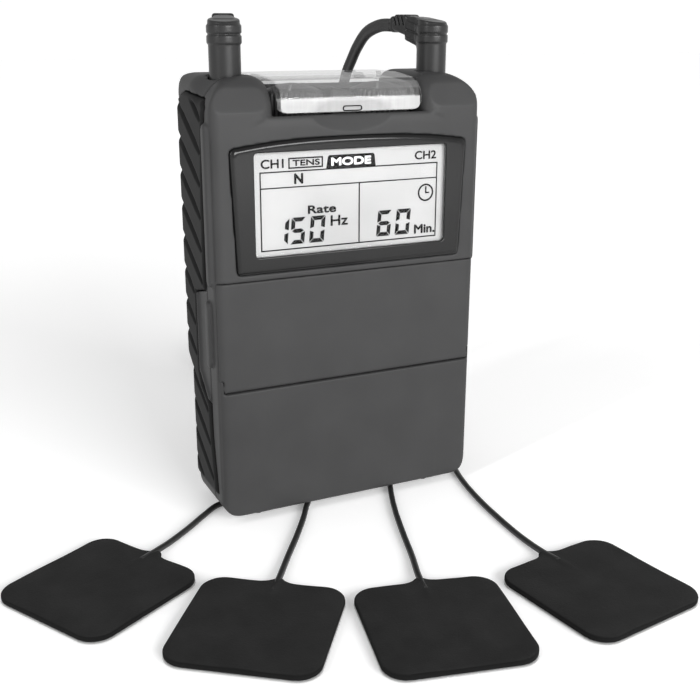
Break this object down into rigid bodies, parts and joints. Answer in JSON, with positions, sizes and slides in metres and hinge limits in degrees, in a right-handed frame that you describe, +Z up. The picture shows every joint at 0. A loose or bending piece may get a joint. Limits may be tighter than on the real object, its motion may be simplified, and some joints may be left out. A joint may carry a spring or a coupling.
{
  "type": "transcutaneous nerve stimulator with electrode pads",
  "caption": "Pocket nerve stimulator standing on its base: display, hinged knob guard, control door, twin leads from top jacks and square adhesive electrode pads laid out in front.",
  "frame": {"origin": "middle of the underside of the foot pip at the centre of the base, midway across the housing's width and depth", "axes": "+X to the right seen from the front, +Y from the display to the back, +Z up"},
  "size_m": [0.1248, 0.1972, 0.1055],
  "materials": {
    "housing": "fine-grained moulding",
    "clip_plastic": "fine-grained moulding",
    "grip_rubber": "matt, ribbed",
    "bezel": "semi-gloss",
    "clear": "clear moulded plastic",
    "panel": "liquid-crystal panel",
    "silicone": "matt silicone rubber",
    "board": "green solder mask",
    "core": "laminated core",
    "component": "moulded component body",
    "knob": "ribbed rim, white pointer",
    "battery": "printed jacket",
    "contact": "nickel-plated spring metal",
    "steel": "plain",
    "plug_plastic": "moulded, matt",
    "cord_black": "satin vinyl",
    "plug_red": "moulded",
    "pad_cloth": "fine knitted backing",
    "gel": "translucent gel",
    "film": "release film"
  },
  "bodies": {
    "unit": {"front_shell": "housing", "back_shell": "housing", "left_grip": "grip_rubber", "right_grip": "grip_rubber", "display_bezel": "bezel", "display_window": "clear", "lcd_panel": "panel", "lcd_connectors": "silicone", "keypad_sheet": "silicone", "circuit_board": "board", "transformer_ch1": "core", "transformer_ch2": "core", "jack_ch1": "component", "jack_ch2": "component", "potentiometer_ch1": "component", "potentiometer_ch2": "component", "battery": "battery", "battery_contacts": "contact", "clip_pin": "steel", "clip_spring": "steel", "case_screws": "steel", "board_screws": "steel", "plug_ch1": "plug_plastic", "plug_ch2": "plug_plastic", "plug_pins": "contact", "lead_ch1": "cord_black", "lead_ch2": "cord_black", "coil_ch1": "cord_black", "coil_ch2": "cord_black", "lead_tie": "plug_plastic", "splitter_ch1": "plug_plastic", "splitter_ch2": "plug_plastic", "leg_wire_1": "cord_black", "leg_wire_2": "cord_black", "leg_wire_3": "cord_black", "leg_wire_4": "cord_black", "pigtail_1": "cord_black", "pigtail_2": "cord_black", "pigtail_3": "cord_black", "pigtail_4": "cord_black", "pin_plugs_red": "plug_red", "pin_plugs_black": "plug_plastic", "pad_sockets": "plug_plastic", "pad_1": "pad_cloth", "pad_2": "pad_cloth", "pad_3": "pad_cloth", "pad_4": "pad_cloth", "pad_gels": "gel", "pad_liners": "film"},
    "control_door": {"control_door": "housing"},
    "button_mode": {"button_mode": "silicone"},
    "button_set": {"button_set": "silicone"},
    "button_up": {"button_up": "silicone"},
    "button_down": {"button_down": "silicone"},
    "knob_ch1": {"knob_ch1": "knob"},
    "knob_ch2": {"knob_ch2": "knob"},
    "knob_guard": {"knob_guard": "clear"},
    "battery_door": {"battery_door": "housing"},
    "belt_clip": {"belt_clip": "clip_plastic"}
  },
  "joints": [
    {"name": "guard_hinge", "type": "hinge", "parent": "unit", "child": "knob_guard", "pos_m": [0, 0.0102, 0.0932], "axis": [-1, 0, 0], "range_deg": [0, 105]},
    {"name": "knob_ch1_turn", "type": "hinge", "parent": "unit", "child": "knob_ch1", "pos_m": [-0.0098, -0.0034, 0.086], "axis": [0, 0, -1], "range_deg": [0, 300]},
    {"name": "knob_ch2_turn", "type": "hinge", "parent": "unit", "child": "knob_ch2", "pos_m": [0.0098, -0.0034, 0.086], "axis": [0, 0, -1], "range_deg": [0, 300]},
    {"name": "control_door_hinge", "type": "hinge", "parent": "unit", "child": "control_door", "pos_m": [0, -0.01095, 0.03185], "axis": [1, 0, 0], "range_deg": [0, 92]},
    {"name": "press_mode", "type": "slide", "parent": "unit", "child": "button_mode", "axis": [0, 1, 0], "range_m": [0, 0.0005], "stiffness_N_per_m": 600, "springref_m": -0.001},
    {"name": "press_set", "type": "slide", "parent": "unit", "child": "button_set", "axis": [0, 1, 0], "range_m": [0, 0.0005], "stiffness_N_per_m": 600, "springref_m": -0.001},
    {"name": "press_up", "type": "slide", "parent": "unit", "child": "button_up", "axis": [0, 1, 0], "range_m": [0, 0.0005], "stiffness_N_per_m": 600, "springref_m": -0.001},
    {"name": "press_down", "type": "slide", "parent": "unit", "child": "button_down", "axis": [0, 1, 0], "range_m": [0, 0.0005], "stiffness_N_per_m": 600, "springref_m": -0.001},
    {"name": "battery_door_hinge", "type": "hinge", "parent": "unit", "child": "battery_door", "pos_m": [0, 0.009, 0.0047], "axis": [-1, 0, 0], "range_deg": [0, 85]},
    {"name": "belt_clip_hinge", "type": "hinge", "parent": "unit", "child": "belt_clip", "pos_m": [0, 0.0158, 0.0831], "axis": [1, 0, 0], "range_deg": [0, 15], "stiffness_Nm_per_rad": 0.06, "springref_deg": -11.46}
  ]
}
